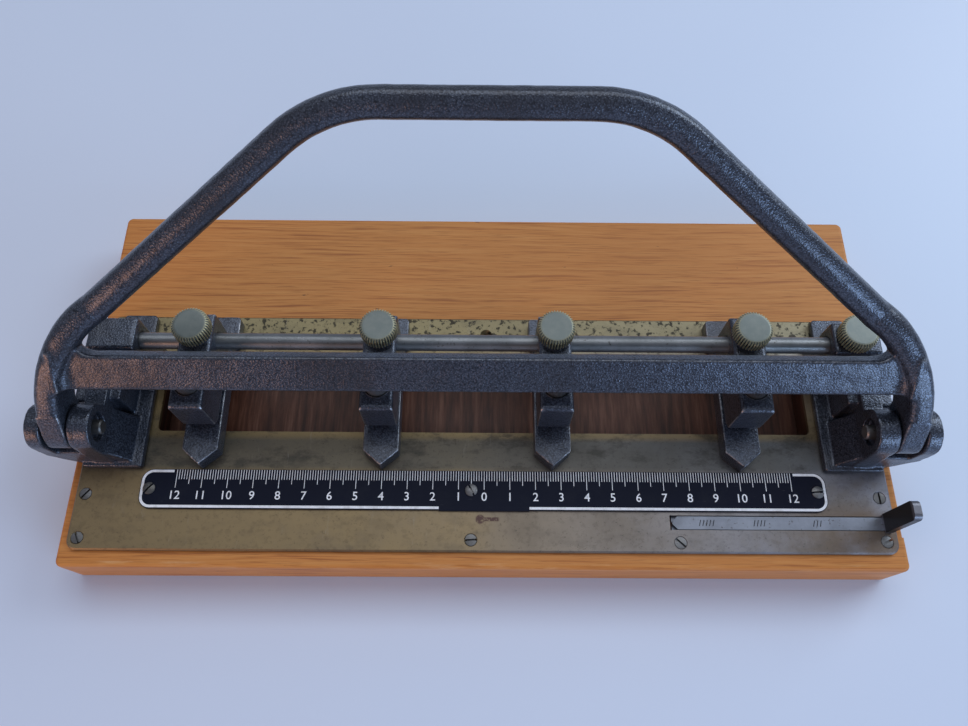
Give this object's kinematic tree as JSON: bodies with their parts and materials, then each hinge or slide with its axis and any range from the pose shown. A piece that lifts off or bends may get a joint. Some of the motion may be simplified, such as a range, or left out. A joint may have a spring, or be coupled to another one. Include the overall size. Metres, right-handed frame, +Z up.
{
  "type": "adjustable hole punch",
  "caption": "Desktop paper punch on a wooden board: a bail handle presses pins in punch units that slide along a guide rod.",
  "frame": {"origin": "centre of the board's underside", "axes": "+X along the guide rod to the right of a user facing the ruler, +Y from the user to the back, +Z up"},
  "size_m": [0.3346, 0.1554, 0.1412],
  "materials": {
    "varnished_wood": "amber varnish",
    "plate_steel": "worn, tarnished to a brassy tone",
    "screw_steel": "plain, slotted",
    "ruler_enamel": "dark enamel with light scale marks",
    "slide_steel": "bright, scratched",
    "hammertone_enamel": "grey hammertone enamel, edges worn",
    "rod_steel": "ground, lightly tarnished",
    "knob_nickel": "nickel plated, knurled",
    "tool_steel": "hardened, ground",
    "spring_steel": "plain wire"
  },
  "bodies": {
    "frame": {"wooden_board": "varnished_wood", "base_plate": "plate_steel", "plate_screws": "screw_steel", "plate_rivet": "screw_steel", "ruler": "ruler_enamel", "ruler_screws": "screw_steel", "bracket_left": "hammertone_enamel", "bracket_right": "hammertone_enamel", "bracket_screws": "screw_steel", "pivot_pin_left": "screw_steel", "pivot_pin_right": "screw_steel", "guide_rod": "rod_steel"},
    "handle": {"handle": "hammertone_enamel"},
    "format_slide": {"format_slide": "slide_steel"},
    "rod_clamp_knob": {"rod_clamp_knob": "knob_nickel"},
    "unit_1": {"punch_body_1": "hammertone_enamel", "die_bush_1": "tool_steel", "return_spring_1": "spring_steel"},
    "punch_1": {"punch_pin_1": "tool_steel"},
    "knob_1": {"clamp_knob_1": "knob_nickel"},
    "unit_2": {"punch_body_2": "hammertone_enamel", "die_bush_2": "tool_steel", "return_spring_2": "spring_steel"},
    "punch_2": {"punch_pin_2": "tool_steel"},
    "knob_2": {"clamp_knob_2": "knob_nickel"},
    "unit_3": {"punch_body_3": "hammertone_enamel", "die_bush_3": "tool_steel", "return_spring_3": "spring_steel"},
    "punch_3": {"punch_pin_3": "tool_steel"},
    "knob_3": {"clamp_knob_3": "knob_nickel"},
    "unit_4": {"punch_body_4": "hammertone_enamel", "die_bush_4": "tool_steel", "return_spring_4": "spring_steel"},
    "punch_4": {"punch_pin_4": "tool_steel"},
    "knob_4": {"clamp_knob_4": "knob_nickel"}
  },
  "joints": [
    {"name": "handle_hinge", "type": "hinge", "parent": "frame", "child": "handle", "pos_m": [0, -0.03045, 0.046], "axis": [1, 0, 0], "range_deg": [-15, 0], "stiffness_Nm_per_rad": 1.2, "springref_deg": 22.92},
    {"name": "format_slide_travel", "type": "slide", "parent": "frame", "child": "format_slide", "axis": [1, 0, 0], "range_m": [0, 0.062]},
    {"name": "rod_clamp_turn", "type": "hinge", "parent": "frame", "child": "rod_clamp_knob", "pos_m": [0.1413, 0.00485, 0.055], "axis": [0, 0, 1], "range_deg": [0, 180]},
    {"name": "unit_1_slide", "type": "slide", "parent": "frame", "child": "unit_1", "axis": [1, 0, 0], "range_m": [-0.014, 0.026]},
    {"name": "punch_1_stroke", "type": "slide", "parent": "unit_1", "child": "punch_1", "axis": [0, 0, -1], "range_m": [0, 0.0038], "deforming": ["return_spring_1"]},
    {"name": "knob_1_turn", "type": "hinge", "parent": "unit_1", "child": "knob_1", "pos_m": [-0.1104, 0.00485, 0.058], "axis": [0, 0, 1], "range_deg": [0, 180]},
    {"name": "unit_2_slide", "type": "slide", "parent": "frame", "child": "unit_2", "axis": [1, 0, 0], "range_m": [-0.026, 0.024]},
    {"name": "punch_2_stroke", "type": "slide", "parent": "unit_2", "child": "punch_2", "axis": [0, 0, -1], "range_m": [0, 0.0038], "deforming": ["return_spring_2"]},
    {"name": "knob_2_turn", "type": "hinge", "parent": "unit_2", "child": "knob_2", "pos_m": [-0.0403, 0.00485, 0.058], "axis": [0, 0, 1], "range_deg": [0, 180]},
    {"name": "unit_3_slide", "type": "slide", "parent": "frame", "child": "unit_3", "axis": [1, 0, 0], "range_m": [-0.024, 0.028]},
    {"name": "punch_3_stroke", "type": "slide", "parent": "unit_3", "child": "punch_3", "axis": [0, 0, -1], "range_m": [0, 0.0038], "deforming": ["return_spring_3"]},
    {"name": "knob_3_turn", "type": "hinge", "parent": "unit_3", "child": "knob_3", "pos_m": [0.0266, 0.00485, 0.058], "axis": [0, 0, 1], "range_deg": [0, 180]},
    {"name": "unit_4_slide", "type": "slide", "parent": "frame", "child": "unit_4", "axis": [1, 0, 0], "range_m": [-0.028, 0.0235]},
    {"name": "punch_4_stroke", "type": "slide", "parent": "unit_4", "child": "punch_4", "axis": [0, 0, -1], "range_m": [0, 0.0038], "deforming": ["return_spring_4"]},
    {"name": "knob_4_turn", "type": "hinge", "parent": "unit_4", "child": "knob_4", "pos_m": [0.1007, 0.00485, 0.058], "axis": [0, 0, 1], "range_deg": [0, 180]}
  ],
  "couplings": [
    {"joint": "punch_1_stroke", "follows": "handle_hinge", "m_per_rad": -0.01402},
    {"joint": "punch_2_stroke", "follows": "handle_hinge", "m_per_rad": -0.01402},
    {"joint": "punch_3_stroke", "follows": "handle_hinge", "m_per_rad": -0.01402},
    {"joint": "punch_4_stroke", "follows": "handle_hinge", "m_per_rad": -0.01402}
  ]
}
